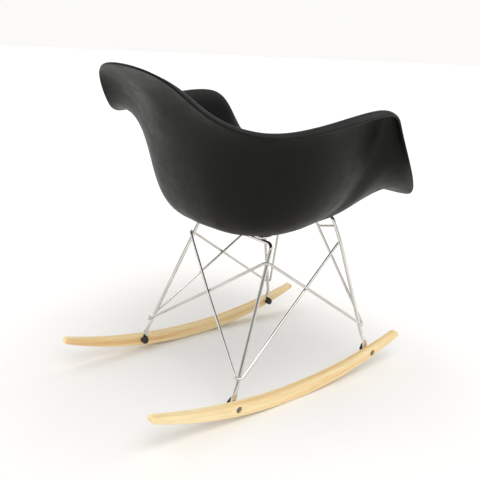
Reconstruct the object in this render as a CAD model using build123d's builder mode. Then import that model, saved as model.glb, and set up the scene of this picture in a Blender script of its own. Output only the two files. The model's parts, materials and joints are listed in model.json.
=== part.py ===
"""Rocking chair: a moulded bucket seat with arms, on a bent-rod base with two wooden rockers.

Millimetres. +Z is up, the sitter faces -Y, and +X is the sitter's left.
The origin is on the floor under the middle of the rockers, where the level chair touches it.
The chair is symmetric about the plane x = 0.
"""
import os
from math import sqrt

import numpy as np
from build123d import *

os.makedirs("parts", exist_ok=True)

# ---- Seat shell -------------------------------------------------------------------------------
SHELL_THICKNESS = 4.5
# Half of the rim, from the middle of the front lip over the arm to the middle of the backrest
RIM_HALF = [
    (0, -317, 418), (167, -309, 418), (242, -271, 437), (280, -204, 496), (288, -153, 572),
    (303, -101, 605), (314, 24, 590), (267, 151, 569), (186, 229, 599), (118, 278, 655),
    (0, 307, 678),
]
# Four values each, at these fractions of the way round from front to back
STATION_FRACTIONS = (0.0, 0.4, 0.7, 1.0)
CREST_INSET = (8, 2, 20, 27)      # crest of the rolled rim, inside the rim's edge
CREST_RISE = (4, 7, 16, -28)      # the same crest, above the rim's edge
WALL_INSET = (123, 108, 141, 201)
WALL_DROP = (-58, -73, -24, 55)
# The bowl ring: a superellipse that rises to the front and to the back
BOWL_HALF_WIDTH = 323
BOWL_HALF_DEPTH = 257
BOWL_CENTRE_Y = -26
BOWL_EXPONENT = 2.14
BOWL_SIDE_Z = 310
BOWL_FRONT_Z = 383
BOWL_BACK_Z = 330
BOWL_FRONT_POWER = 1.5
BOWL_BACK_POWER = 2.38
SEAT_MIDDLE = (0, 19, 347)        # lowest point of the underside
SEAT_TILT = -0.02                 # slope of the underside there, front to back
FLAT_SHARE = 0.5                  # second ring, as a share of the way out to the bowl ring
PATCH_POINTS = 25                 # points along each side of a fitted patch
PATCH_TOLERANCE = 0.2             # of the fitted faces
NORMAL_STEP = 1e-3                # step for the slopes of the surface
NORMAL_MIN_OUT = 0.02             # closer to the middle the slopes are not defined

# ---- Rockers ----------------------------------------------------------------------------------
ROCKER_INNER_X = 181
ROCKER_WIDTH = 22
ROCKER_OUTER_X = ROCKER_INNER_X + ROCKER_WIDTH
ROCKER_BOTTOM_RADIUS = 940
ROCKER_TOP_RADIUS = 1240
ROCKER_DEPTH = 29.4               # at the middle
ROCKER_HALF_LENGTH = 341.5
ROCKER_TIP_RADIUS = 5.5
ROCKER_EDGE_RADIUS = 4

# ---- Legs -------------------------------------------------------------------------------------
ROD_RADIUS = 4
WIRE_RADIUS = 3
REAR_SLOPE = (-0.1806, -0.4225)   # x and y for each millimetre of height
FRONT_SLOPE = (-0.1636, 0.2641)
REAR_APEX = (135.2, 35.1, 294.0)  # where the wire bracing passes the legs
REAR_FOOT = (174.1, 126.1, 78.6)
FRONT_APEX = (134.3, -180.5, 308.0)
FRONT_FOOT = (167.0, -233.3, 108.1)
REAR_BAR = (128.3, 19.0, 332.0)   # corner of the arch, on the rod's axis
FRONT_BAR = (115.0, -168.0, 364.0)
BAR_BEND_RADIUS = 14
KNEE_RADIUS = 60
REAR_BOLT = (145.0, 27.5)         # y and z of the rocker bolts
FRONT_BOLT = (-248.0, 45.0)
TAB_THICKNESS = 4
TAB_WIDTH = 11
TAB_X = ROCKER_INNER_X - TAB_THICKNESS / 2
NECK_WIDTH_TRIM = 0.3             # the loft's flat end: narrower than half the tab
NECK_THICKNESS_EXTRA = 0.2        # and thicker than half the tab
TAB_TOP_RISE = 19                 # the flattened end, above the bolt
ROUND_RISE = 38                   # the full round rod, above the bolt

# ---- Fasteners at the rockers -----------------------------------------------------------------
BOLT_RADIUS = 2.5
BOLT_HOLE_RADIUS = 2.75
COUNTERBORE_RADIUS = 7
COUNTERBORE_DEPTH = 5
WASHER_RADIUS = 6.25
WASHER_THICKNESS = 1
BOLT_HEAD_RADIUS = 4.75
BOLT_HEAD_HEIGHT = 3
BOLT_HEX_RADIUS = 1.75
BOLT_PAST_NUT = 1
HEX_DEPTH_SHARE = 0.6             # hexagon recesses, as a share of the head's height
NUT_RADIUS = 4.4
NUT_HEIGHT = 4.5
CAP_INNER_X = 168.5
CAP_RADIUS = 7.8
CAP_POINT_RISE = 10
CAP_TIP_RADIUS = 2.2
CAP_TAB_DEPTH = 7.2               # cavity over the flattened end
CAP_CLEARANCE = 0.4
CAP_NUT_CLEARANCE = 1.5           # between the nut and the cap's end wall
CAP_EDGE_RADIUS = 2

# ---- Wire bracing -----------------------------------------------------------------------------
WIRE_CLEARANCE = 0.05
WRAP_GAP = ROD_RADIUS + WIRE_RADIUS + WIRE_CLEARANCE    # axis to axis where the wire wraps a leg
WRAP_HALF_RUN = 6.5
WRAP_RADIUS = 6
CROSSING_GAP = 2 * (WIRE_RADIUS + WIRE_CLEARANCE)
CROSSING_RADIUS = 60
FRONT_WIRE_TOP = (52.0, -168.0, 356.9)
FRONT_WIRE_RADIUS = 14
APEX_END_SHIFT = 7.4              # the wire's free end, behind the front leg
LINK_RADIUS = 2.5
LINK_GAP = 0.5
LINK_WIRE_Z = 331
LINK_LEG_Z = 345

# ---- Seat mounts ------------------------------------------------------------------------------
MOUNT_X = 85
REAR_MOUNT_Y = 6
FRONT_MOUNT_Y = -181
PLATE_THICKNESS = 3
PLATE_WIDTH = 26
PLATE_CORNER = 4
REAR_PLATE_Y = (-9, 23)
FRONT_PLATE_Y = (-196, -164)
SPACER_RADIUS = 15
REAR_SPACER_HEIGHT = 5
FRONT_SPACER_HEIGHT = 6
BOSS_RADIUS = 13.5
BOSS_REACH = 30                   # long enough to pass through the shell
SCREW_RADIUS = 3
SCREW_HOLE_RADIUS = 3.3
SCREW_HEAD_RADIUS = 5.5
SCREW_HEAD_HEIGHT = 3.5
SCREW_HEX_RADIUS = 2.25
SCREW_TIP_CLEARANCE = 0.5         # below the insert's upper end
SEAT_WASHER_RADIUS = 7
SEAT_WASHER_THICKNESS = 1.2
INSERT_RADIUS = 4.5
INSERT_DEPTH = 6.5
INSERT_RECESS = 0.3

SIDES = {"left": 1, "right": -1}


def save(builder, name):
    """Label a finished part and write its STEP file."""
    builder.part.label = name
    export_step(builder.part, f"parts/{name}.step")


def mirrored(point, side):
    return (side * point[0], point[1], point[2])


def on_line(point, slope, z):
    """Point of a leg's axis at height z."""
    return (point[0] + slope[0] * (z - point[2]), point[1] + slope[1] * (z - point[2]), z)


# ---- The seat shell's surface -----------------------------------------------------------------
def between_stations(values, fraction):
    """Cubic through the four values at STATION_FRACTIONS."""
    total = 0
    for i, here in enumerate(STATION_FRACTIONS):
        weight = 1
        for j, other in enumerate(STATION_FRACTIONS):
            if i != j:
                weight = weight * (fraction - other) / (here - other)
        total = total + values[i] * weight
    return total


def close_ring(half):
    """Mirror a half ring of points about x = 0."""
    other_half = half[1:-1][::-1] * np.array([-1, 1, 1])
    return np.vstack([half, other_half])


def ring_tangents(ring):
    """Tangents of the periodic cubic spline through a ring of points."""
    count = len(ring)
    matrix = 4 * np.eye(count) + np.roll(np.eye(count), 1, axis=0) + np.roll(np.eye(count), -1, axis=0)
    chords = np.roll(ring, -1, axis=0) - np.roll(ring, 1, axis=0)
    return np.linalg.solve(matrix, 3 * chords)


def on_ring(ring, tangents, turn):
    """Point of that spline; turn runs from 0 to the number of points."""
    count = len(ring)
    start = int(turn // 1) % count
    end = (start + 1) % count
    part = turn % 1
    rise = part * part * (3 - 2 * part)
    leave = part * (1 - part) ** 2
    arrive = part * part * (part - 1)
    ends = ring[start] * (1 - rise) + ring[end] * rise
    return ends + tangents[start] * leave + tangents[end] * arrive


def seat_rings():
    """Six rings of control points, from the middle of the seat to the rim."""
    rim = np.array(RIM_HALF, dtype=float)
    fraction = np.linspace(0, 1, len(rim))
    slope = ring_tangents(close_ring(rim))[: len(rim)]
    outward = np.column_stack([slope[:, 1], -slope[:, 0], 0 * slope[:, 0]])
    outward = outward / np.linalg.norm(outward, axis=1)[:, None]
    up = np.array([0, 0, 1])

    crest = rim - outward * between_stations(CREST_INSET, fraction)[:, None]
    crest = crest + up * between_stations(CREST_RISE, fraction)[:, None]
    wall = rim - outward * between_stations(WALL_INSET, fraction)[:, None]
    wall = wall - up * between_stations(WALL_DROP, fraction)[:, None]

    across = rim[:, 0]
    along = rim[:, 1] - BOWL_CENTRE_Y
    reach = np.hypot(across, along)
    across = across / reach
    along = along / reach
    radius = np.abs(across / BOWL_HALF_WIDTH) ** BOWL_EXPONENT
    radius = radius + np.abs(along / BOWL_HALF_DEPTH) ** BOWL_EXPONENT
    radius = radius ** (-1 / BOWL_EXPONENT)
    front = (BOWL_FRONT_Z - BOWL_SIDE_Z) * np.clip(-along, 0, 1) ** BOWL_FRONT_POWER
    back = (BOWL_BACK_Z - BOWL_SIDE_Z) * np.clip(along, 0, 1) ** BOWL_BACK_POWER
    bowl = np.column_stack([radius * across, BOWL_CENTRE_Y + radius * along, BOWL_SIDE_Z + front + back])

    middle = np.array(SEAT_MIDDLE, dtype=float)
    flat = middle + FLAT_SHARE * (bowl - middle)
    flat[:, 2] = middle[2] + SEAT_TILT * (flat[:, 1] - middle[1])

    halves = [np.tile(middle, (len(rim), 1)), flat, bowl, wall, crest, rim]
    for half in halves:
        half[0, 0] = 0
        half[-1, 0] = 0
    return [close_ring(half) for half in halves]


RINGS = seat_rings()
RING_TANGENTS = [ring_tangents(ring) for ring in RINGS]
BINOMIALS = (1, 5, 10, 10, 5, 1)


def seat_point(out, turn):
    """Underside of the shell: out runs 0 to 1 from the middle to the rim, turn goes round it."""
    point = np.zeros(3)
    for i, (ring, tangents) in enumerate(zip(RINGS, RING_TANGENTS)):
        weight = BINOMIALS[i] * out**i * (1 - out) ** (5 - i)
        point = point + weight * on_ring(ring, tangents, turn)
    return point


def seat_normal(out, turn):
    """Unit normal that points to the sitter."""
    out = max(out, NORMAL_MIN_OUT)
    across = seat_point(out, turn) - seat_point(out - NORMAL_STEP, turn)
    round_it = seat_point(out, turn + NORMAL_STEP) - seat_point(out, turn - NORMAL_STEP)
    normal = np.cross(across, round_it)
    return normal / np.linalg.norm(normal)


def seat_patch(depth):
    """One smooth face over the whole shell, depth millimetres above its underside."""
    ticks = np.linspace(-1, 1, PATCH_POINTS)
    rows = []
    for a in ticks:
        row = []
        for b in ticks:
            x = a * sqrt(1 - b * b / 2)
            y = b * sqrt(1 - a * a / 2)
            out = min(1, sqrt(x * x + y * y))
            turn = (np.degrees(np.arctan2(y, x)) + 90) / 360 * len(RINGS[0]) % len(RINGS[0])
            point = seat_point(out, turn) + depth * seat_normal(out, turn)
            row.append(Vector(*point))
        rows.append(row)
    return Face.make_surface_from_array_of_points(rows, tol=PATCH_TOLERANCE, min_deg=3, max_deg=3)


def seat_blank():
    """The shell as a closed solid between its underside and its upper face."""
    under = seat_patch(0)
    upper = seat_patch(SHELL_THICKNESS)
    sides = []
    for edge in under.edges():
        partner = upper.edges().sort_by_distance(edge @ 0.5)[0]
        sides.append(Face.make_surface_from_curves(edge, partner))
    return Solid(Shell([under, upper] + sides))


# ---- seat_shell -------------------------------------------------------------------------------
# For each pair of mounts: y, top of the rod, the plate's y range and the spacer's height
MOUNTS = {
    "rear": (REAR_MOUNT_Y, REAR_BAR[2] + ROD_RADIUS, REAR_PLATE_Y, REAR_SPACER_HEIGHT),
    "front": (FRONT_MOUNT_Y, FRONT_BAR[2] + ROD_RADIUS, FRONT_PLATE_Y, FRONT_SPACER_HEIGHT),
}
STAND_UP = (Align.CENTER, Align.CENTER, Align.MIN)


def boss_bottom(rod_top, spacer_height):
    return rod_top + PLATE_THICKNESS + spacer_height


def boss_solid(x, y, bottom, blank):
    """Round boss from its flat bottom up to the underside of the shell."""
    with BuildPart(mode=Mode.PRIVATE) as boss:
        with Locations((x, y, bottom)):
            Cylinder(BOSS_RADIUS, BOSS_REACH, align=STAND_UP)
        add(blank, mode=Mode.SUBTRACT)
    return boss.part.solids().sort_by(Axis.Z)[0]


shell_blank = seat_blank()
with BuildPart() as seat_shell:
    add(shell_blank)
    for y, rod_top, _, spacer_height in MOUNTS.values():
        bottom = boss_bottom(rod_top, spacer_height)
        for side in SIDES.values():
            add(boss_solid(side * MOUNT_X, y, bottom, shell_blank))
            with Locations((side * MOUNT_X, y, bottom)):
                Cylinder(INSERT_RADIUS, INSERT_DEPTH + INSERT_RECESS, align=STAND_UP, mode=Mode.SUBTRACT)
save(seat_shell, "seat_shell")


# ---- rear_arch and front_arch -----------------------------------------------------------------
def rod_solid(points, bend_radii, radius):
    """A round rod swept along straight runs joined by bends."""
    with BuildPart(mode=Mode.PRIVATE) as rod:
        with BuildLine() as route:
            FilletPolyline(*points, radius=bend_radii)
        with BuildSketch(Plane(origin=route.line @ 0, z_dir=route.line % 0)):
            Circle(radius)
        sweep()
    return rod.part


def flat_end(bolt, slope, apex):
    """Where the flattened end of a leg starts."""
    z = bolt[1] + TAB_TOP_RISE
    return (TAB_X, on_line(apex, slope, z)[1], z)


def full_round(bolt, slope, apex):
    """Where the leg has its full round section."""
    return on_line(apex, slope, bolt[1] + ROUND_RISE)


def foot_solid(bolt, slope, apex):
    """The left leg's flattened end: a loft from the round rod, and a tab with its bolt hole."""
    flat = flat_end(bolt, slope, apex)
    full = full_round(bolt, slope, apex)
    middle = ((bolt[0] + flat[1]) / 2, (bolt[1] + flat[2]) / 2)
    with BuildPart(mode=Mode.PRIVATE) as foot:
        with BuildSketch(Plane(origin=flat, x_dir=(0, 1, -slope[1]), z_dir=(0, slope[1], 1))):
            Ellipse(TAB_WIDTH / 2 - NECK_WIDTH_TRIM, TAB_THICKNESS / 2 + NECK_THICKNESS_EXTRA)
        with BuildSketch(Plane(origin=full, x_dir=(0, 1, -slope[1]), z_dir=(*slope, 1))):
            Circle(ROD_RADIUS)
        loft()
        with BuildSketch(Plane.YZ.offset(TAB_X - TAB_THICKNESS / 2)):
            SlotCenterPoint(middle, bolt, TAB_WIDTH)
            with Locations(bolt):
                Circle(BOLT_HOLE_RADIUS, mode=Mode.SUBTRACT)
        extrude(amount=TAB_THICKNESS)
    return foot.part


def arch_half(bolt, slope, apex, bar, knee):
    """Points of the left half of an arch, from the foot up to the corner of its bar."""
    start = full_round(bolt, slope, apex)
    return [start, apex, bar] if knee else [start, bar]


def build_arch(name, bolt, slope, apex, bar, knee):
    """An arch: two legs and the bar between them. A knee is a slight bend in the leg."""
    half = arch_half(bolt, slope, apex, bar, knee)
    radii = [KNEE_RADIUS] * knee + [BAR_BEND_RADIUS]
    points = half + [mirrored(point, -1) for point in reversed(half)]
    with BuildPart() as arch:
        add(foot_solid(bolt, slope, apex))
        mirror(about=Plane.YZ)
        add(rod_solid(points, radii + radii[::-1], ROD_RADIUS))
    save(arch, name)


REAR_LEG = (REAR_BOLT, REAR_SLOPE, REAR_APEX)
FRONT_LEG = (FRONT_BOLT, FRONT_SLOPE, FRONT_APEX)
build_arch("rear_arch", *REAR_LEG, REAR_BAR, False)
build_arch("front_arch", *FRONT_LEG, FRONT_BAR, True)


# ---- Wire bracing -----------------------------------------------------------------------------
def wrap(side, leg_point, slope):
    """The wire's short run round the outside of a leg: middle, side end and other end."""
    end = 1 if leg_point[1] > 0 else -1
    to_side = Vector(side, -end, 0).normalized()
    outward = Vector(side * slope[0], slope[1], 1).cross(to_side).normalized()
    if outward.dot(Vector(side, end, 0)) < 0:
        outward = -outward
    middle = Vector(*mirrored(leg_point, side)) + outward * WRAP_GAP
    return middle, middle + to_side * WRAP_HALF_RUN, middle - to_side * WRAP_HALF_RUN


def crossing(first, second, toward):
    """Points for two crossing wires, side by side; the first wire passes on the toward side."""
    start, end = first
    other_start, other_end = second
    along = (end - start).normalized()
    other_along = (other_end - other_start).normalized()
    normal = along.cross(other_along).normalized()
    if normal.dot(toward) < 0:
        normal = -normal
    apart = other_start - start
    lean = along.dot(other_along)
    travel = (apart.dot(along) - apart.dot(other_along) * lean) / (1 - lean * lean)
    other_travel = (apart.dot(along) * lean - apart.dot(other_along)) / (1 - lean * lean)
    middle = (start + along * travel + other_start + other_along * other_travel) / 2
    return middle + normal * (CROSSING_GAP / 2), middle - normal * (CROSSING_GAP / 2)


def build_wire(name, points, bend_radii):
    with BuildPart() as wire:
        add(rod_solid(points, bend_radii, WIRE_RADIUS))
    save(wire, name)


def build_side_braces(word, side):
    """Two crossing wires on one side: foot to apex each way."""
    foot_middle, foot_corner, _ = wrap(side, REAR_FOOT, REAR_SLOPE)
    front_middle, front_corner, _ = wrap(side, FRONT_FOOT, FRONT_SLOPE)
    apex_middle, apex_corner, _ = wrap(side, REAR_APEX, REAR_SLOPE)
    free_end = Vector(*mirrored(FRONT_APEX, side)) + Vector(0, APEX_END_SHIFT, 0)
    outer, inner = crossing((front_corner, apex_corner), (foot_corner, free_end), Vector(side, 0, 0))
    build_wire(f"side_brace_{word}_inner", [foot_middle, foot_corner, inner, free_end],
               [WRAP_RADIUS, CROSSING_RADIUS])
    build_wire(f"side_brace_{word}_outer", [front_middle, front_corner, outer, apex_corner, apex_middle],
               [WRAP_RADIUS, CROSSING_RADIUS, WRAP_RADIUS])


def build_rear_braces():
    """Two crossing wires across the back, each from an apex to the opposite foot."""
    ends = []
    for side in SIDES.values():
        apex_middle, _, apex_corner = wrap(side, REAR_APEX, REAR_SLOPE)
        foot_middle, _, foot_corner = wrap(-side, REAR_FOOT, REAR_SLOPE)
        ends.append((apex_middle, apex_corner, foot_corner, foot_middle))
    outer, inner = crossing(ends[0][1:3], ends[1][1:3], Vector(0, 1, 0))
    for name, end, middle in zip(("rear_brace_outer", "rear_brace_inner"), ends, (outer, inner)):
        build_wire(name, [end[0], end[1], middle, end[2], end[3]],
                   [WRAP_RADIUS, CROSSING_RADIUS, WRAP_RADIUS])


def build_front_brace():
    """The wire between the front feet, over the top under the front bar."""
    middle, _, corner = wrap(1, FRONT_FOOT, FRONT_SLOPE)
    half = [middle, corner, Vector(*FRONT_WIRE_TOP)]
    other_half = [Vector(-point.X, point.Y, point.Z) for point in reversed(half)]
    build_wire("front_brace", half + other_half,
               [WRAP_RADIUS, FRONT_WIRE_RADIUS, FRONT_WIRE_RADIUS, WRAP_RADIUS])
    return corner


for word, side in SIDES.items():
    build_side_braces(word, side)
build_rear_braces()
front_corner = build_front_brace()


def between(low, high, z):
    """Point at height z on the line through two points."""
    part = (z - low[2]) / (high[2] - low[2])
    return Vector(*[a + (b - a) * part for a, b in zip(low, high)])


# ---- front_link_left and front_link_right: short bars from the front wire to the front legs ---
for word, side in SIDES.items():
    wire_point = between(tuple(front_corner), FRONT_WIRE_TOP, LINK_WIRE_Z)
    leg_point = between(FRONT_APEX, FRONT_BAR, LINK_LEG_Z)
    reach = (leg_point - wire_point).normalized()
    start = wire_point + reach * (WIRE_RADIUS + LINK_GAP)
    length = (leg_point - start).length - ROD_RADIUS - LINK_GAP
    with BuildPart() as front_link:
        link_plane = Plane(origin=mirrored(tuple(start), side), z_dir=mirrored(tuple(reach), side))
        with BuildSketch(link_plane):
            Circle(LINK_RADIUS)
        extrude(amount=length)
    save(front_link, f"front_link_{word}")


# ---- rocker_left and rocker_right -------------------------------------------------------------
def arc_height(radius, bottom, y):
    """Height of a circle's lower half at y, for a circle whose lowest point is at bottom."""
    return bottom + radius - sqrt(radius * radius - y * y)


BOLTS = {"rear": REAR_BOLT, "front": FRONT_BOLT}
tip_low = arc_height(ROCKER_BOTTOM_RADIUS, 0, ROCKER_HALF_LENGTH)
tip_high = arc_height(ROCKER_TOP_RADIUS, ROCKER_DEPTH, ROCKER_HALF_LENGTH)
front_low = (-ROCKER_HALF_LENGTH, tip_low)
front_high = (-ROCKER_HALF_LENGTH, tip_high)
rear_low = (ROCKER_HALF_LENGTH, tip_low)
rear_high = (ROCKER_HALF_LENGTH, tip_high)
for word, side in SIDES.items():
    with BuildPart() as rocker:
        with BuildSketch(Plane.YZ.offset(side * (ROCKER_INNER_X + ROCKER_WIDTH / 2) - ROCKER_WIDTH / 2)):
            with BuildLine():
                ThreePointArc(front_low, (0, 0), rear_low)
                Line(rear_low, rear_high)
                ThreePointArc(rear_high, (0, ROCKER_DEPTH), front_high)
                Line(front_high, front_low)
            make_face()
            fillet(vertices(), ROCKER_TIP_RADIUS)
        extrude(amount=ROCKER_WIDTH)
        fillet(faces().filter_by(Axis.X).edges(), ROCKER_EDGE_RADIUS)
        for bolt in BOLTS.values():
            with Locations(Plane(origin=(side * ROCKER_OUTER_X, *bolt), z_dir=(side, 0, 0))):
                CounterBoreHole(BOLT_HOLE_RADIUS, COUNTERBORE_RADIUS, COUNTERBORE_DEPTH)
    save(rocker, f"rocker_{word}")


# ---- rocker_bolts, rocker_washers and rocker_nuts ---------------------------------------------
def disc_solid(side, bolt, inner_x, outer_x, radius, hole=0.0):
    """Round piece about a rocker bolt's axis, between two distances from the middle of the chair."""
    with BuildPart(mode=Mode.PRIVATE) as disc:
        with BuildSketch(Plane.YZ.offset(min(side * inner_x, side * outer_x))):
            with Locations(bolt):
                Circle(radius)
                if hole:
                    Circle(hole, mode=Mode.SUBTRACT)
        extrude(amount=outer_x - inner_x)
    return disc.part


BOLT_PLACES = [(side, bolt) for side in SIDES.values() for bolt in BOLTS.values()]
SEAT_X = ROCKER_OUTER_X - COUNTERBORE_DEPTH
HEAD_X = SEAT_X + WASHER_THICKNESS
NUT_OUTER_X = ROCKER_INNER_X - TAB_THICKNESS
NUT_INNER_X = NUT_OUTER_X - NUT_HEIGHT

with BuildPart() as rocker_bolts:
    for side, bolt in BOLT_PLACES:
        add(disc_solid(side, bolt, HEAD_X, HEAD_X + BOLT_HEAD_HEIGHT, BOLT_HEAD_RADIUS))
        add(disc_solid(side, bolt, NUT_INNER_X - BOLT_PAST_NUT, HEAD_X, BOLT_RADIUS))
        with BuildSketch(Plane.YZ.offset(side * (HEAD_X + BOLT_HEAD_HEIGHT))):
            with Locations(bolt):
                RegularPolygon(BOLT_HEX_RADIUS, 6)
        extrude(amount=-side * BOLT_HEAD_HEIGHT * HEX_DEPTH_SHARE, mode=Mode.SUBTRACT)
save(rocker_bolts, "rocker_bolts")

with BuildPart() as rocker_washers:
    for side, bolt in BOLT_PLACES:
        add(disc_solid(side, bolt, SEAT_X, HEAD_X, WASHER_RADIUS, BOLT_HOLE_RADIUS))
save(rocker_washers, "rocker_washers")

with BuildPart() as rocker_nuts:
    for side, bolt in BOLT_PLACES:
        with BuildSketch(Plane.YZ.offset(min(side * NUT_INNER_X, side * NUT_OUTER_X))):
            with Locations(bolt):
                RegularPolygon(NUT_RADIUS, 6)
                Circle(BOLT_RADIUS, mode=Mode.SUBTRACT)
        extrude(amount=NUT_HEIGHT)
save(rocker_nuts, "rocker_nuts")


# ---- end_cap_*: one over each nut, drawn to a point up the leg --------------------------------
def build_end_cap(name, side, bolt, slope, apex):
    """Hollow cap over the nut and the tab of one leg."""
    flat = flat_end(bolt, slope, apex)
    rise = Vector(flat[1] - bolt[0], flat[2] - bolt[1]).normalized() * CAP_POINT_RISE
    tip = (bolt[0] + rise.X, bolt[1] + rise.Y)
    cavity_middle = (1.5 * tip[0] - 0.5 * bolt[0], 1.5 * tip[1] - 0.5 * bolt[1])
    depth = ROCKER_INNER_X - CAP_INNER_X
    with BuildPart() as cap:
        with BuildSketch(Plane.YZ.offset(min(side * CAP_INNER_X, side * ROCKER_INNER_X))):
            with Locations(bolt):
                Circle(CAP_RADIUS)
            with Locations(tip):
                Circle(CAP_TIP_RADIUS)
            make_hull()
        extrude(amount=depth)
        inside_face = faces().sort_by(Axis.X)[0 if side > 0 else -1]
        fillet(inside_face.edges(), CAP_EDGE_RADIUS)
        cavity_x = min(side * (ROCKER_INNER_X - CAP_TAB_DEPTH), side * ROCKER_INNER_X)
        with BuildSketch(Plane.YZ.offset(cavity_x)):
            SlotCenterPoint(cavity_middle, bolt, TAB_WIDTH + 2 * CAP_CLEARANCE)
        extrude(amount=CAP_TAB_DEPTH, mode=Mode.SUBTRACT)
        pocket_x = NUT_INNER_X - CAP_NUT_CLEARANCE
        with BuildSketch(Plane.YZ.offset(min(side * pocket_x, side * ROCKER_INNER_X))):
            with Locations(bolt):
                Circle(NUT_RADIUS + CAP_CLEARANCE)
        extrude(amount=ROCKER_INNER_X - pocket_x, mode=Mode.SUBTRACT)
    save(cap, name)


for word, side in SIDES.items():
    build_end_cap(f"end_cap_rear_{word}", side, *REAR_LEG)
    build_end_cap(f"end_cap_front_{word}", side, *FRONT_LEG)


# ---- Seat mounts: mount_plate_*, spacer_* and their fasteners ---------------------------------
for end, (y, rod_top, plate_y, spacer_height) in MOUNTS.items():
    for word, side in SIDES.items():
        with BuildPart() as plate:
            with BuildSketch(Plane.XY.offset(rod_top)):
                with Locations((side * MOUNT_X, (plate_y[0] + plate_y[1]) / 2)):
                    RectangleRounded(PLATE_WIDTH, plate_y[1] - plate_y[0], PLATE_CORNER)
                with Locations((side * MOUNT_X, y)):
                    Circle(SCREW_HOLE_RADIUS, mode=Mode.SUBTRACT)
            extrude(amount=PLATE_THICKNESS)
        save(plate, f"mount_plate_{end}_{word}")

        with BuildPart() as spacer:
            with BuildSketch(Plane.XY.offset(rod_top + PLATE_THICKNESS)):
                with Locations((side * MOUNT_X, y)):
                    Circle(SPACER_RADIUS)
                    Circle(SCREW_HOLE_RADIUS, mode=Mode.SUBTRACT)
            extrude(amount=spacer_height)
        save(spacer, f"spacer_{end}_{word}")

SEAT_PLACES = [(side, mount) for side in SIDES.values() for mount in MOUNTS.values()]

with BuildPart() as threaded_inserts:
    for side, (y, rod_top, _, spacer_height) in SEAT_PLACES:
        with BuildSketch(Plane.XY.offset(boss_bottom(rod_top, spacer_height) + INSERT_RECESS)):
            with Locations((side * MOUNT_X, y)):
                Circle(INSERT_RADIUS)
                Circle(SCREW_RADIUS, mode=Mode.SUBTRACT)
        extrude(amount=INSERT_DEPTH)
save(threaded_inserts, "threaded_inserts")

with BuildPart() as seat_washers:
    for side, (y, rod_top, _, _) in SEAT_PLACES:
        with BuildSketch(Plane.XY.offset(rod_top - SEAT_WASHER_THICKNESS)):
            with Locations((side * MOUNT_X, y)):
                Circle(SEAT_WASHER_RADIUS)
                Circle(SCREW_HOLE_RADIUS, mode=Mode.SUBTRACT)
        extrude(amount=SEAT_WASHER_THICKNESS)
save(seat_washers, "seat_washers")

with BuildPart() as seat_screws:
    for side, (y, rod_top, _, spacer_height) in SEAT_PLACES:
        head_top = rod_top - SEAT_WASHER_THICKNESS
        tip_z = boss_bottom(rod_top, spacer_height) + INSERT_RECESS + INSERT_DEPTH - SCREW_TIP_CLEARANCE
        head_bottom = head_top - SCREW_HEAD_HEIGHT
        with Locations((side * MOUNT_X, y, head_bottom)):
            Cylinder(SCREW_HEAD_RADIUS, SCREW_HEAD_HEIGHT, align=STAND_UP)
            Cylinder(SCREW_RADIUS, tip_z - head_bottom, align=STAND_UP)
        with BuildSketch(Plane.XY.offset(head_bottom)):
            with Locations((side * MOUNT_X, y)):
                RegularPolygon(SCREW_HEX_RADIUS, 6)
        extrude(amount=SCREW_HEAD_HEIGHT * HEX_DEPTH_SHARE, mode=Mode.SUBTRACT)
save(seat_screws, "seat_screws")
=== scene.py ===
"""Looks of the rocking chair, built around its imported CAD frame. Metres, +Z up, sitter faces -Y."""
import json
import math

import bpy
import numpy as np
from mathutils import Matrix, Vector


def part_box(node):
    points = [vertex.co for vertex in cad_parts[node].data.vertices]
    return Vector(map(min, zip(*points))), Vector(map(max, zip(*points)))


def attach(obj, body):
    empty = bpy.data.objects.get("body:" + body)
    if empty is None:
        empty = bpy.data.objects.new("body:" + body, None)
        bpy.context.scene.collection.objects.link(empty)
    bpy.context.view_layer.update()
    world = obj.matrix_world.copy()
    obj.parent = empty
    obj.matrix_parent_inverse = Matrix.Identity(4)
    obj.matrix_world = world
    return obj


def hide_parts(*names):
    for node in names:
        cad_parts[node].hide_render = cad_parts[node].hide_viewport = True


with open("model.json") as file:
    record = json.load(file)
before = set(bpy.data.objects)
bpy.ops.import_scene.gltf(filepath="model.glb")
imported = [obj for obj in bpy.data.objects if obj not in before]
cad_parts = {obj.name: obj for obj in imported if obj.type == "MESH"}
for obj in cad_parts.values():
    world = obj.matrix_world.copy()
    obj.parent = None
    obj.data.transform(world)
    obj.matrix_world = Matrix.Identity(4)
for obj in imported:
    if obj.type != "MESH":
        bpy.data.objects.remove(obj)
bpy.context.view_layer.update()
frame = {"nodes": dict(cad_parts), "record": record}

MM = 0.001


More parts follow.
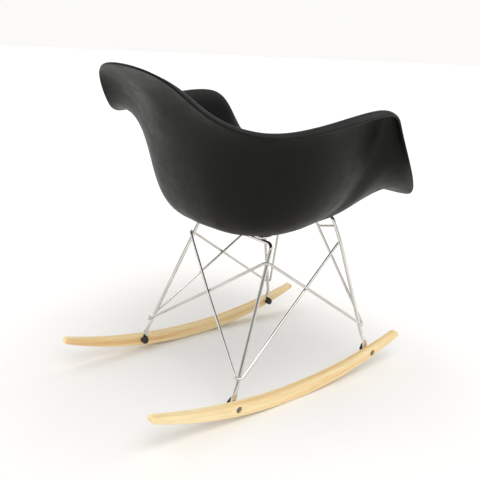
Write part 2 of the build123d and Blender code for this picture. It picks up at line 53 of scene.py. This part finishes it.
# ---- Node helpers -----------------------------------------------------------------------------
class Material:
    """A node material with short ways to add nodes and join them."""

    def __init__(self, name, colour, roughness, metallic=0.0):
        self.material = bpy.data.materials.new(name)
        self.material.use_nodes = True
        self.tree = self.material.node_tree
        self.shader = self.tree.nodes["Principled BSDF"]
        self.set("Base Color", (*colour, 1.0))
        self.set("Roughness", roughness)
        self.set("Metallic", metallic)

    def set(self, socket, value):
        self.shader.inputs[socket].default_value = value

    def node(self, kind, **values):
        """Adds a node; values name its properties or its input sockets (spaces as _)."""
        node = self.tree.nodes.new(kind)
        for key, value in values.items():
            if hasattr(node, key):
                setattr(node, key, value)
            else:
                node.inputs[key.replace("_", " ")].default_value = value
        return node

    def link(self, source, target):
        self.tree.links.new(source, target)

    def place(self, scale):
        """The object's own coordinates, in metres, times a scale for each axis."""
        coordinates = self.node("ShaderNodeTexCoord")
        mapping = self.node("ShaderNodeMapping", Scale=scale)
        self.link(coordinates.outputs["Object"], mapping.inputs["Vector"])
        return mapping.outputs["Vector"]

    def noise(self, vector, scale, detail=4.0, roughness=0.5):
        noise = self.node("ShaderNodeTexNoise", Scale=scale, Detail=detail, Roughness=roughness)
        self.link(vector, noise.inputs["Vector"])
        return noise.outputs["Fac"]

    def ramp(self, factor, stops):
        """A colour ramp; stops are (position, colour) pairs."""
        ramp = self.node("ShaderNodeValToRGB")
        elements = ramp.color_ramp.elements
        while len(elements) < len(stops):
            elements.new(0.5)
        for element, (position, colour) in zip(elements, stops):
            element.position = position
            element.color = (*colour, 1.0)
        self.link(factor, ramp.inputs["Fac"])
        return ramp.outputs["Color"]

    def spread(self, factor, low, high, start=0.3, end=0.7):
        """Maps a noise value to a range of numbers."""
        spread = self.node("ShaderNodeMapRange", From_Min=start, From_Max=end, To_Min=low, To_Max=high)
        self.link(factor, spread.inputs["Value"])
        return spread.outputs["Result"]

    def math(self, operation, first, second):
        node = self.node("ShaderNodeMath", operation=operation)
        for socket, value in zip(node.inputs, (first, second)):
            if isinstance(value, (int, float)):
                socket.default_value = value
            else:
                self.link(value, socket)
        return node.outputs["Value"]

    def mix(self, factor, first, second, blend="MIX"):
        """Mixes two colours by a factor."""
        mix = self.node("ShaderNodeMixRGB", blend_type=blend)
        for socket, value in zip(mix.inputs, (factor, first, second)):
            if isinstance(value, (int, float)):
                socket.default_value = value
            elif isinstance(value, tuple):
                socket.default_value = (*value, 1.0)
            else:
                self.link(value, socket)
        return mix.outputs["Color"]

    def bump(self, height, strength, distance):
        bump = self.node("ShaderNodeBump", Strength=strength, Distance=distance)
        self.link(height, bump.inputs["Height"])
        self.link(bump.outputs["Normal"], self.shader.inputs["Normal"])


# ---- Materials --------------------------------------------------------------------------------
def shell_plastic():
    """Satin black moulded plastic: a fine spark-eroded grain and slight handling marks."""
    m = Material("shell_plastic_look", (0.0045, 0.0045, 0.0042), 0.42)
    m.set("Specular IOR Level", 0.14)
    even = m.place((1, 1, 1))
    patches = m.noise(even, 9, 5)
    colour = m.ramp(patches, [(0.3, (0.0036, 0.0036, 0.0033)), (0.7, (0.0058, 0.0056, 0.0051))])
    m.link(colour, m.shader.inputs["Base Color"])
    wear = m.noise(even, 38, 8, 0.65)
    m.link(m.spread(wear, 0.36, 0.5), m.shader.inputs["Roughness"])
    m.bump(m.noise(even, 1500, 2), 0.22, 0.0002)
    return m.material


def chrome(name, streaks):
    """Polished chrome plate with faint drawing marks along the rod."""
    m = Material(name, (0.68, 0.665, 0.64), 0.1, 1.0)
    even = m.place((1, 1, 1))
    haze = m.noise(even, 55, 6, 0.6)
    m.link(m.spread(haze, 0.05, 0.17), m.shader.inputs["Roughness"])
    colour = m.ramp(m.noise(even, 14, 3), [(0.3, (0.60, 0.58, 0.55)), (0.7, (0.76, 0.75, 0.73))])
    m.link(colour, m.shader.inputs["Base Color"])
    m.bump(m.noise(even, streaks, 3), 0.08, 0.0002)
    return m.material


GRAIN_RADIUS = 1.07               # metres: the curve that the grain follows
GRAIN_STRETCH = 0.035             # how much finer the pattern runs along the rocker


def rocker_wood():
    """Pale hardwood under clear lacquer: long fine grain that follows the rocker's curve."""
    m = Material("rocker_wood_look", (0.8, 0.62, 0.38), 0.4)
    coordinates = m.node("ShaderNodeTexCoord")
    parts = m.node("ShaderNodeSeparateXYZ")
    m.link(coordinates.outputs["Object"], parts.inputs["Vector"])
    x, y, z = (parts.outputs[axis] for axis in "XYZ")
    rise = m.math("DIVIDE", m.math("MULTIPLY", y, y), 2 * GRAIN_RADIUS)
    depth = m.math("SUBTRACT", z, rise)
    along = m.node("ShaderNodeCombineXYZ")
    m.link(x, along.inputs["X"])
    m.link(m.math("MULTIPLY", y, GRAIN_STRETCH), along.inputs["Y"])
    m.link(depth, along.inputs["Z"])
    flow = along.outputs["Vector"]
    bands = m.noise(flow, 70, 3, 0.5)
    fibres = m.noise(flow, 700, 6, 0.6)
    blotch = m.noise(flow, 22, 2, 0.5)
    base = m.ramp(bands, [(0.32, (0.86, 0.56, 0.26)), (0.46, (0.96, 0.74, 0.40)), (0.68, (0.98, 0.84, 0.52))])
    fine = m.ramp(fibres, [(0.33, (0.72, 0.62, 0.50)), (0.5, (1.0, 1.0, 1.0))])
    colour = m.mix(0.55, base, fine, "MULTIPLY")
    tone = m.ramp(blotch, [(0.35, (0.93, 0.88, 0.80)), (0.65, (1.0, 1.0, 1.0))])
    colour = m.mix(0.8, colour, tone, "MULTIPLY")
    m.link(colour, m.shader.inputs["Base Color"])
    m.link(m.spread(fibres, 0.34, 0.48), m.shader.inputs["Roughness"])
    m.set("Coat Weight", 0.25)
    m.set("Coat Roughness", 0.25)
    m.bump(fibres, 0.3, 0.0003)
    return m.material


def black_plastic(name, colour, roughness, grain):
    """Small moulded black part with a dull, slightly uneven skin."""
    m = Material(name, colour, roughness)
    even = m.place((1, 1, 1))
    wear = m.noise(even, 160, 6, 0.6)
    m.link(m.spread(wear, roughness - 0.08, roughness + 0.1), m.shader.inputs["Roughness"])
    darker = tuple(0.7 * value for value in colour)
    lighter = tuple(1.4 * value for value in colour)
    m.link(m.ramp(wear, [(0.3, darker), (0.7, lighter)]), m.shader.inputs["Base Color"])
    m.bump(m.noise(even, grain, 2), 0.3, 0.0002)
    return m.material


def metal(name, light, dark, roughness):
    """Plated fastener metal, dulled unevenly."""
    m = Material(name, light, roughness, 1.0)
    even = m.place((1, 1, 1))
    dull = m.noise(even, 420, 6, 0.6)
    m.link(m.ramp(dull, [(0.3, dark), (0.7, light)]), m.shader.inputs["Base Color"])
    m.link(m.spread(dull, roughness - 0.08, roughness + 0.14), m.shader.inputs["Roughness"])
    m.bump(m.noise(even, 2600, 3), 0.15, 0.0001)
    return m.material


LOOKS = {
    "shell_plastic": shell_plastic(),
    "chrome_rod": chrome("chrome_rod_look", 900),
    "chrome_wire": chrome("chrome_wire_look", 1300),
    "rocker_wood": rocker_wood(),
    "cap_plastic": black_plastic("cap_plastic_look", (0.012, 0.012, 0.012), 0.5, 1800),
    "spacer_rubber": black_plastic("spacer_rubber_look", (0.016, 0.016, 0.015), 0.75, 1200),
    "steel_fasteners": metal("steel_fasteners_look", (0.34, 0.32, 0.30), (0.20, 0.18, 0.16), 0.34),
    "insert_brass": metal("insert_brass_look", (0.78, 0.58, 0.28), (0.55, 0.38, 0.16), 0.3),
}
SLOTS = {row["node"]: row["material_slot"] for row in frame["record"]["subparts"]}

for name, node in frame["nodes"].items():
    node.data.materials.clear()
    node.data.materials.append(LOOKS[SLOTS[name]])


# ---- The seat shell's surface, in millimetres as in the CAD -----------------------------------
SHELL_THICKNESS = 4.5
RIM_HALF = [
    (0, -317, 418), (167, -309, 418), (242, -271, 437), (280, -204, 496), (288, -153, 572),
    (303, -101, 605), (314, 24, 590), (267, 151, 569), (186, 229, 599), (118, 278, 655),
    (0, 307, 678),
]
STATION_FRACTIONS = (0.0, 0.4, 0.7, 1.0)
CREST_INSET = (8, 2, 20, 27)
CREST_RISE = (4, 7, 16, -28)
WALL_INSET = (123, 108, 141, 201)
WALL_DROP = (-58, -73, -24, 55)
BOWL_HALF_WIDTH = 323
BOWL_HALF_DEPTH = 257
BOWL_CENTRE_Y = -26
BOWL_EXPONENT = 2.14
BOWL_SIDE_Z = 310
BOWL_FRONT_Z = 383
BOWL_BACK_Z = 330
BOWL_FRONT_POWER = 1.5
BOWL_BACK_POWER = 2.38
SEAT_MIDDLE = (0, 19, 347)
SEAT_TILT = -0.02
BINOMIALS = (1, 5, 10, 10, 5, 1)
UP = np.array([0.0, 0.0, 1.0])


def between_stations(values, fraction):
    """Cubic through the four values at STATION_FRACTIONS, as a column."""
    total = np.zeros_like(fraction)
    for i, here in enumerate(STATION_FRACTIONS):
        weight = np.ones_like(fraction)
        for j, other in enumerate(STATION_FRACTIONS):
            if i != j:
                weight = weight * (fraction - other) / (here - other)
        total = total + values[i] * weight
    return total[:, None]


def close_ring(half):
    """Mirror a half ring of points about x = 0."""
    return np.vstack([half, half[1:-1][::-1] * np.array([-1, 1, 1])])


def ring_tangents(ring):
    """Tangents of the periodic cubic spline through a ring of points."""
    unit = np.eye(len(ring))
    matrix = 4 * unit + np.roll(unit, 1, axis=0) + np.roll(unit, -1, axis=0)
    return np.linalg.solve(matrix, 3 * (np.roll(ring, -1, axis=0) - np.roll(ring, 1, axis=0)))


def on_ring(ring, turns):
    """Points of that spline; turns run from 0 to the number of ring points."""
    tangents = ring_tangents(ring)
    start = np.floor(turns).astype(int) % len(ring)
    end = (start + 1) % len(ring)
    part = (turns % 1)[:, None]
    rise = part * part * (3 - 2 * part)
    ends = ring[start] * (1 - rise) + ring[end] * rise
    leave = tangents[start] * part * (1 - part) ** 2
    return ends + leave + tangents[end] * part * part * (part - 1)


def seat_rings():
    """Six rings of control points, from the middle of the seat to the rim."""
    rim = np.array(RIM_HALF, dtype=float)
    fraction = np.linspace(0, 1, len(rim))
    slope = ring_tangents(close_ring(rim))[: len(rim)]
    outward = np.column_stack([slope[:, 1], -slope[:, 0], 0 * slope[:, 0]])
    outward = outward / np.linalg.norm(outward, axis=1)[:, None]
    crest = rim - outward * between_stations(CREST_INSET, fraction)
    crest = crest + UP * between_stations(CREST_RISE, fraction)
    wall = rim - outward * between_stations(WALL_INSET, fraction)
    wall = wall - UP * between_stations(WALL_DROP, fraction)

    across = rim[:, 0]
    along = rim[:, 1] - BOWL_CENTRE_Y
    reach = np.hypot(across, along)
    across = across / reach
    along = along / reach
    radius = np.abs(across / BOWL_HALF_WIDTH) ** BOWL_EXPONENT
    radius = (radius + np.abs(along / BOWL_HALF_DEPTH) ** BOWL_EXPONENT) ** (-1 / BOWL_EXPONENT)
    front = (BOWL_FRONT_Z - BOWL_SIDE_Z) * np.clip(-along, 0, 1) ** BOWL_FRONT_POWER
    back = (BOWL_BACK_Z - BOWL_SIDE_Z) * np.clip(along, 0, 1) ** BOWL_BACK_POWER
    bowl = np.column_stack([radius * across, BOWL_CENTRE_Y + radius * along, BOWL_SIDE_Z + front + back])

    middle = np.array(SEAT_MIDDLE, dtype=float)
    flat = middle + 0.5 * (bowl - middle)
    flat[:, 2] = middle[2] + SEAT_TILT * (flat[:, 1] - middle[1])
    halves = [np.tile(middle, (len(rim), 1)), flat, bowl, wall, crest, rim]
    for half in halves:
        half[0, 0] = 0
        half[-1, 0] = 0
    return [close_ring(half) for half in halves]


RINGS = seat_rings()


def seat_line(turns):
    """Control points of the shell for each turn value: six arrays of points."""
    return [on_ring(ring, turns) for ring in RINGS]


def seat_points(controls, out):
    """Underside of the shell; out holds one value for each turn, 0 at the middle, 1 at the rim."""
    out = np.broadcast_to(np.asarray(out, float), (len(controls[0]),))[:, None]
    weights = [BINOMIALS[i] * out**i * (1 - out) ** (5 - i) for i in range(6)]
    return sum(weight * control for weight, control in zip(weights, controls))


def seat_normals(turns, out):
    """Unit normals that point to the sitter."""
    step = 1e-3
    out = np.maximum(out, 0.02)
    controls = seat_line(turns)
    across = seat_points(controls, out) - seat_points(controls, out - step)
    round_it = seat_points(seat_line(turns + step), out) - seat_points(seat_line(turns - step), out)
    normals = np.cross(across, round_it)
    return normals / np.linalg.norm(normals, axis=1)[:, None]


# ---- seat_shell: fine mesh with a rounded rim and four bosses ---------------------------------
RING_STEPS = 320
OUT_STEPS = 44
RIM_STEPS = 12
RIM_SQUARENESS = 0.5              # 1 is a half-round edge, 0 a square one
BOSS_STEPS = 48


def add_mesh(name, verts, faces, slot):
    """A smooth mesh piece from points in millimetres, riding on the chair."""
    mesh = bpy.data.meshes.new(name)
    mesh.from_pydata([tuple(MM * float(value) for value in vert) for vert in verts], [], faces)
    mesh.validate()
    mesh.polygons.foreach_set("use_smooth", [True] * len(mesh.polygons))
    mesh.update()
    piece = bpy.data.objects.new(name, mesh)
    bpy.context.scene.collection.objects.link(piece)
    mesh.materials.append(LOOKS[slot])
    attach(piece, "root")
    return piece


def band(first, second, count):
    """Quads between two closed rings of vertices, given by their first indices."""
    return [(first + i, first + (i + 1) % count, second + (i + 1) % count, second + i) for i in range(count)]


def fan(middle, ring, count):
    return [(middle, ring + (i + 1) % count, ring + i) for i in range(count)]


def rim_cut(controls, distance):
    """How far out the shell's face ends, so that a rounded rim of that radius reaches its edge."""
    low = np.full(len(controls[0]), 0.8)
    high = np.ones(len(controls[0]))
    edge = seat_points(controls, 1)
    for _ in range(20):
        middle = (low + high) / 2
        far = np.linalg.norm(seat_points(controls, middle) - edge, axis=1) > distance
        low = np.where(far, middle, low)
        high = np.where(far, high, middle)
    return low


def shell_mesh():
    """Rings of points from the underside's middle, over the rim, to the middle of the upper face."""
    turns = np.linspace(0, len(RINGS[0]), RING_STEPS, endpoint=False)
    controls = seat_line(turns)
    half = SHELL_THICKNESS / 2
    last = rim_cut(controls, half)
    outs = [last * (1 - (1 - i / OUT_STEPS) ** 1.25) for i in range(1, OUT_STEPS + 1)]
    under = [seat_points(controls, out) for out in outs]
    upper = [p + SHELL_THICKNESS * seat_normals(turns, out) for p, out in zip(under, outs)]
    normal = seat_normals(turns, last)
    edge_middle = under[-1] + half * normal
    outward = seat_points(controls, 1) - under[-1]
    outward = outward / np.linalg.norm(outward, axis=1)[:, None]
    rim = []
    for i in range(1, RIM_STEPS):
        angle = math.pi * i / RIM_STEPS
        proud = math.sin(angle) ** RIM_SQUARENESS
        aside = math.copysign(abs(math.cos(angle)) ** RIM_SQUARENESS, math.cos(angle))
        rim.append(edge_middle + half * (outward * proud - normal * aside))
    rings = under + rim + upper[::-1]
    bottom = np.array(SEAT_MIDDLE, dtype=float)
    verts = [bottom] + [vert for ring in rings for vert in ring]
    faces = fan(0, 1, RING_STEPS)
    for i in range(len(rings) - 1):
        start = 1 + i * RING_STEPS
        quads = band(start + RING_STEPS, start, RING_STEPS)
        faces += [tuple(reversed(quad)) for quad in quads]
    verts.append(bottom + SHELL_THICKNESS * UP)
    middle_fan = fan(len(verts) - 1, 1 + (len(rings) - 1) * RING_STEPS, RING_STEPS)
    faces += [tuple(reversed(face)) for face in middle_fan]
    return verts, faces


MOUNT_X = 85
BOSS_RADIUS = 13.5
BOSS_CHAMFER = 1.0
INSERT_RADIUS = 4.5


def add_boss(verts, faces, x, y, bottom, top):
    """A round boss with a chamfered foot and the blind hole of its insert."""
    profile = [
        (0, bottom + 6.9), (INSERT_RADIUS, bottom + 6.9), (INSERT_RADIUS, bottom),
        (BOSS_RADIUS - BOSS_CHAMFER, bottom), (BOSS_RADIUS, bottom + BOSS_CHAMFER), (BOSS_RADIUS, top),
    ]
    first = len(verts)
    verts.append((x, y, profile[0][1]))
    for radius, z in profile[1:]:
        for i in range(BOSS_STEPS):
            angle = 2 * math.pi * i / BOSS_STEPS
            verts.append((x + radius * math.cos(angle), y + radius * math.sin(angle), z))
    faces += [tuple(reversed(face)) for face in fan(first, first + 1, BOSS_STEPS)][::-1]
    for i in range(len(profile) - 2):
        ring = first + 1 + i * BOSS_STEPS
        faces += [tuple(reversed(quad)) for quad in band(ring, ring + BOSS_STEPS, BOSS_STEPS)]


def build_shell():
    verts, faces = shell_mesh()
    for end in ("rear", "front"):
        spacer_low, spacer_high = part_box(f"spacer_{end}_left")
        y = (spacer_low.y + spacer_high.y) / 2 / MM
        bottom = spacer_high.z / MM
        top = bottom + (5 if end == "rear" else 8)
        for side in (1, -1):
            add_boss(verts, faces, side * MOUNT_X, y, bottom, top)
    shell = add_mesh("seat_shell_look", verts, faces, "shell_plastic")
    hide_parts("seat_shell")


build_shell()


# ---- Floor, light and camera ------------------------------------------------------------------
def plain_colour(name, colour, roughness):
    """Studio paper: nearly even, with a faint mottle."""
    m = Material(name, colour, roughness)
    even = m.place((1, 1, 1))
    darker = tuple(0.985 * value for value in colour)
    m.link(m.ramp(m.noise(even, 3, 2), [(0.3, darker), (0.7, colour)]), m.shader.inputs["Base Color"])
    m.set("Specular IOR Level", 0.1)
    return m.material


FLOOR_HALF_SIZE = 400.0           # metres, so that its edge is far behind the chair


def build_floor():
    size = FLOOR_HALF_SIZE
    mesh = bpy.data.meshes.new("studio_floor")
    corners = [(-size, -size, 0), (size, -size, 0), (size, size, 0), (-size, size, 0)]
    mesh.from_pydata(corners, [], [(0, 1, 2, 3)])
    floor = bpy.data.objects.new("studio_floor", mesh)
    bpy.context.scene.collection.objects.link(floor)
    mesh.materials.append(plain_colour("studio_floor_look", (0.9, 0.895, 0.88), 0.9))


def build_world():
    """Soft studio surround: white at the horizon and overhead, greyer between."""
    world = bpy.data.worlds.new("studio")
    bpy.context.scene.world = world
    world.use_nodes = True
    tree = world.node_tree
    coordinates = tree.nodes.new("ShaderNodeTexCoord")
    parts = tree.nodes.new("ShaderNodeSeparateXYZ")
    ramp = tree.nodes.new("ShaderNodeValToRGB")
    stops = [(0.0, 0.97), (0.1, 0.97), (0.26, 0.3), (0.6, 0.4), (0.85, 0.9)]
    while len(ramp.color_ramp.elements) < len(stops):
        ramp.color_ramp.elements.new(0.5)
    for element, (position, level) in zip(ramp.color_ramp.elements, stops):
        element.position = position
        element.color = (level, level * 0.99, level * 0.97, 1.0)
    tree.links.new(coordinates.outputs["Generated"], parts.inputs["Vector"])
    tree.links.new(parts.outputs["Z"], ramp.inputs["Fac"])
    tree.links.new(ramp.outputs["Color"], tree.nodes["Background"].inputs["Color"])
    tree.nodes["Background"].inputs["Strength"].default_value = 1.0


def add_sun(name, direction, strength, softness):
    """A wide soft light from one side; softness is its angle in degrees."""
    light = bpy.data.lights.new(name, "SUN")
    light.energy = strength
    light.angle = math.radians(softness)
    holder = bpy.data.objects.new(name, light)
    holder.rotation_euler = Vector(direction).to_track_quat("-Z", "Y").to_euler()
    bpy.context.scene.collection.objects.link(holder)


CAMERA_PLACE = (-1.0578, 0.8375, 0.7028)
CAMERA_RIGHT = Vector((-0.6099, -0.7914, 0.0415))
CAMERA_UP = Vector((0.2482, -0.1410, 0.9584))
CAMERA_LENS = 47.14


def build_camera():
    """Behind the chair on the sitter's right, slightly above it."""
    data = bpy.data.cameras.new("camera")
    data.lens = CAMERA_LENS
    data.sensor_width = 36
    data.clip_start = 0.01
    back = CAMERA_RIGHT.cross(CAMERA_UP).normalized()
    up = back.cross(CAMERA_RIGHT).normalized()
    right = up.cross(back)
    camera = bpy.data.objects.new("camera", data)
    turn = Matrix((right, up, back)).transposed().to_4x4()
    camera.matrix_world = Matrix.Translation(CAMERA_PLACE) @ turn
    bpy.context.scene.collection.objects.link(camera)
    bpy.context.scene.camera = camera


build_floor()
build_world()
add_sun("key_sun", (1.0, -0.35, -1.5), 1.2, 50)
add_sun("rear_sun", (-0.8, -1.2, -1.6), 0.7, 60)
add_sun("front_sun", (0.3, 1.4, -1.8), 0.6, 60)
build_camera()
bpy.context.scene.view_settings.view_transform = "Standard"
